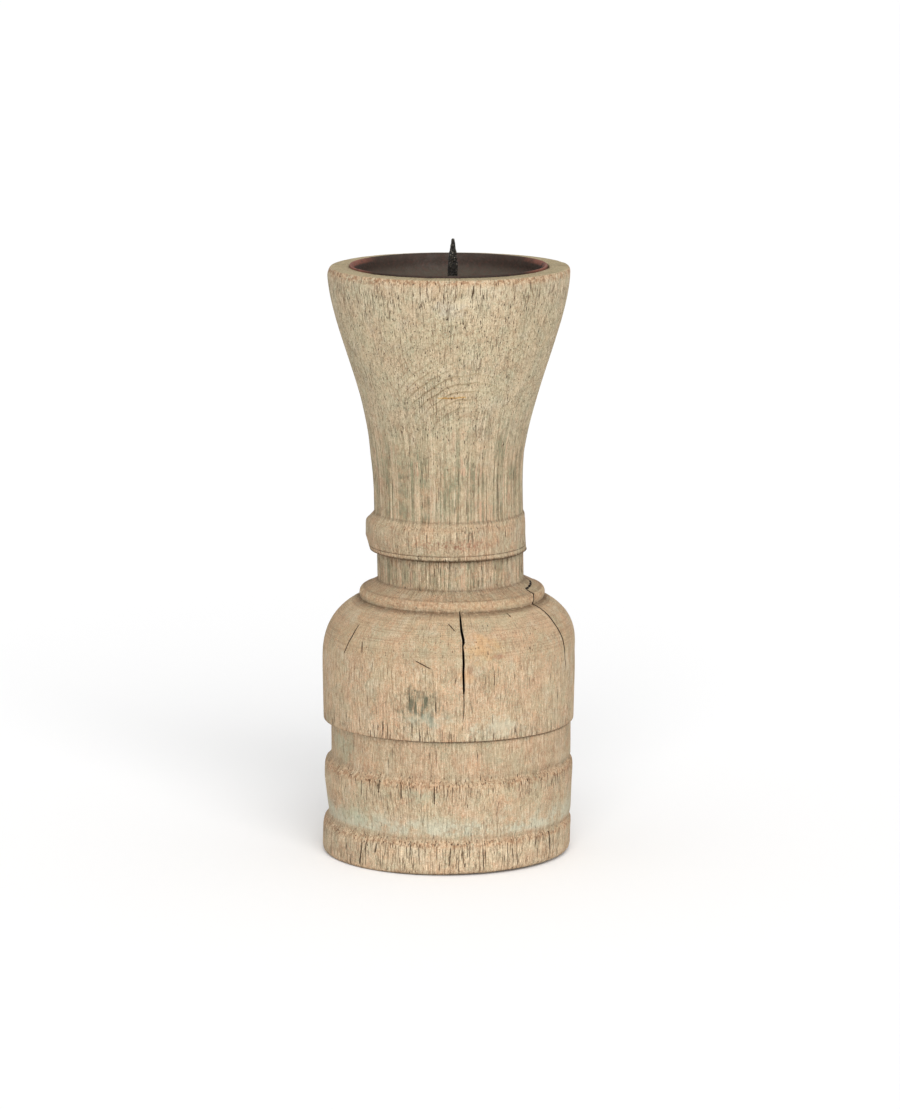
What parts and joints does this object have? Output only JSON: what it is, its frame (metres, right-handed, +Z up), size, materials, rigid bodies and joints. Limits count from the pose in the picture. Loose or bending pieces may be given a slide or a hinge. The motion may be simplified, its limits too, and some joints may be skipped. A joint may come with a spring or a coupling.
{
  "type": "pricket candlestick",
  "caption": "Turned wooden pricket candlestick: flared bowl top, ringed neck, domed shoulder and stepped foot, with an iron dish and spike for a pillar candle.",
  "frame": {"origin": "middle of the foot's underside, on the surface the candlestick stands on", "axes": "+Z up along the column to the tip of the spike, +X and +Y level; the side with the long crack in the shoulder faces -Y"},
  "size_m": [0.125, 0.125, 0.3034],
  "materials": {
    "bleached_wood": "raw, bleached and weathered, matte",
    "dish_iron": "pressed sheet iron with a dull brown, slightly rusty skin",
    "black_iron": "forged iron, blackened, with ground flats at the point"
  },
  "bodies": {
    "root": {"turned_body": "bleached_wood", "bowl_liner": "dish_iron", "pricket": "black_iron"}
  },
  "joints": []
}
